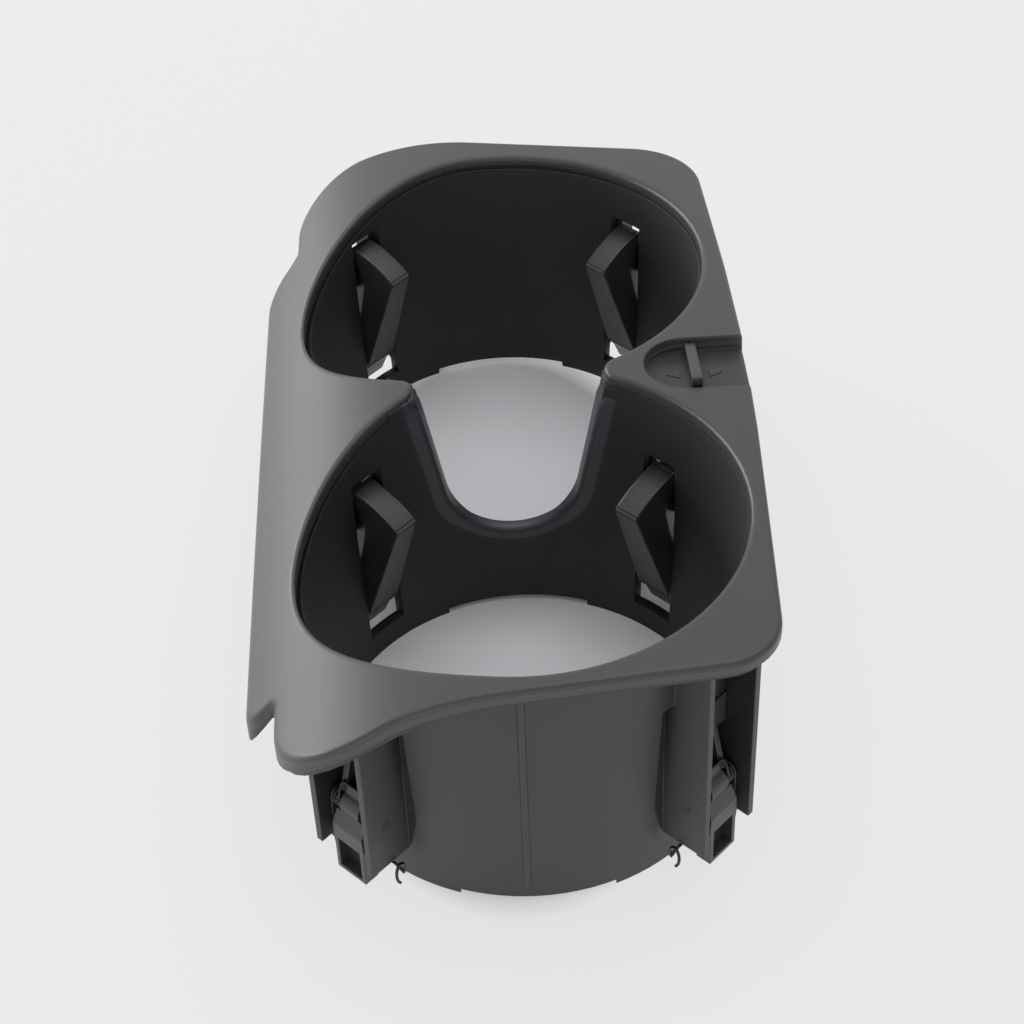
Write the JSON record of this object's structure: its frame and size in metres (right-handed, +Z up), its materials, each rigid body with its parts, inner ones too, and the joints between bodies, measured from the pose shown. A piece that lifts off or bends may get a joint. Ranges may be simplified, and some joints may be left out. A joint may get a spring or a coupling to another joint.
{
  "type": "car console cup holder",
  "caption": "Console cup holder: two tapered open-bottomed cups joined by a notched web, a rolled bezel, and sprung flaps that lean in to grip the cups.",
  "frame": {"origin": "centre of the whole part's footprint box, at the level of the cups' feet", "axes": "+X to the right across the car, away from the rolled flank; +Y to the rear, from the front cup to the rear cup; +Z up"},
  "size_m": [0.094, 0.177, 0.0607],
  "materials": {
    "bezel_plastic": "soft-touch fine grain, warm dark grey",
    "cup_plastic": "fine moulded grain, near black",
    "flap_plastic": "smooth moulded, ribbed on the top face",
    "catch_plastic": "smooth moulded",
    "pin_steel": "plain drawn steel",
    "spring_wire": "black oiled spring wire"
  },
  "bodies": {
    "root": {"cup_body": "cup_plastic", "top_bezel": "bezel_plastic", "front_cup_pin_1": "pin_steel", "front_cup_pin_2": "pin_steel", "front_cup_pin_3": "pin_steel", "front_cup_pin_4": "pin_steel", "rear_cup_pin_1": "pin_steel", "rear_cup_pin_2": "pin_steel", "rear_cup_pin_3": "pin_steel", "rear_cup_pin_4": "pin_steel", "front_cup_spring_1": "spring_wire", "front_cup_spring_2": "spring_wire", "front_cup_spring_3": "spring_wire", "front_cup_spring_4": "spring_wire", "rear_cup_spring_1": "spring_wire", "rear_cup_spring_2": "spring_wire", "rear_cup_spring_3": "spring_wire", "rear_cup_spring_4": "spring_wire"},
    "catch": {"release_catch": "catch_plastic"},
    "front_cup_flap_1": {"front_cup_flap_1": "flap_plastic"},
    "front_cup_flap_2": {"front_cup_flap_2": "flap_plastic"},
    "front_cup_flap_3": {"front_cup_flap_3": "flap_plastic"},
    "front_cup_flap_4": {"front_cup_flap_4": "flap_plastic"},
    "rear_cup_flap_1": {"rear_cup_flap_1": "flap_plastic"},
    "rear_cup_flap_2": {"rear_cup_flap_2": "flap_plastic"},
    "rear_cup_flap_3": {"rear_cup_flap_3": "flap_plastic"},
    "rear_cup_flap_4": {"rear_cup_flap_4": "flap_plastic"}
  },
  "joints": [
    {"name": "front_cup_hinge_1", "type": "hinge", "parent": "root", "child": "front_cup_flap_1", "pos_m": [0.03353, -0.01, 0.0195], "axis": [-0.7071, 0.7071, 0], "range_deg": [0, 16], "stiffness_Nm_per_rad": 0.03, "springref_deg": -34.38, "deforming": ["front_cup_spring_1"]},
    {"name": "front_cup_hinge_2", "type": "hinge", "parent": "root", "child": "front_cup_flap_2", "pos_m": [-0.02841, -0.01, 0.0195], "axis": [-0.7071, -0.7071, 0], "range_deg": [0, 16], "stiffness_Nm_per_rad": 0.03, "springref_deg": -34.38, "deforming": ["front_cup_spring_2"]},
    {"name": "front_cup_hinge_3", "type": "hinge", "parent": "root", "child": "front_cup_flap_3", "pos_m": [-0.02841, -0.07195, 0.0195], "axis": [0.7071, -0.7071, 0], "range_deg": [0, 16], "stiffness_Nm_per_rad": 0.03, "springref_deg": -34.38, "deforming": ["front_cup_spring_3"]},
    {"name": "front_cup_hinge_4", "type": "hinge", "parent": "root", "child": "front_cup_flap_4", "pos_m": [0.03353, -0.07195, 0.0195], "axis": [0.7071, 0.7071, 0], "range_deg": [0, 16], "stiffness_Nm_per_rad": 0.03, "springref_deg": -34.38, "deforming": ["front_cup_spring_4"]},
    {"name": "rear_cup_hinge_1", "type": "hinge", "parent": "root", "child": "rear_cup_flap_1", "pos_m": [0.03353, 0.0665, 0.0195], "axis": [-0.7071, 0.7071, 0], "range_deg": [0, 16], "stiffness_Nm_per_rad": 0.03, "springref_deg": -34.38, "deforming": ["rear_cup_spring_1"]},
    {"name": "rear_cup_hinge_2", "type": "hinge", "parent": "root", "child": "rear_cup_flap_2", "pos_m": [-0.02841, 0.0665, 0.0195], "axis": [-0.7071, -0.7071, 0], "range_deg": [0, 16], "stiffness_Nm_per_rad": 0.03, "springref_deg": -34.38, "deforming": ["rear_cup_spring_2"]},
    {"name": "rear_cup_hinge_3", "type": "hinge", "parent": "root", "child": "rear_cup_flap_3", "pos_m": [-0.02841, 0.00455, 0.0195], "axis": [0.7071, -0.7071, 0], "range_deg": [0, 16], "stiffness_Nm_per_rad": 0.03, "springref_deg": -34.38, "deforming": ["rear_cup_spring_3"]},
    {"name": "rear_cup_hinge_4", "type": "hinge", "parent": "root", "child": "rear_cup_flap_4", "pos_m": [0.03353, 0.00455, 0.0195], "axis": [0.7071, 0.7071, 0], "range_deg": [0, 16], "stiffness_Nm_per_rad": 0.03, "springref_deg": -34.38, "deforming": ["rear_cup_spring_4"]},
    {"name": "catch_slide", "type": "slide", "parent": "root", "child": "catch", "axis": [1, 0, 0], "range_m": [-0.0025, 0.0025]}
  ]
}
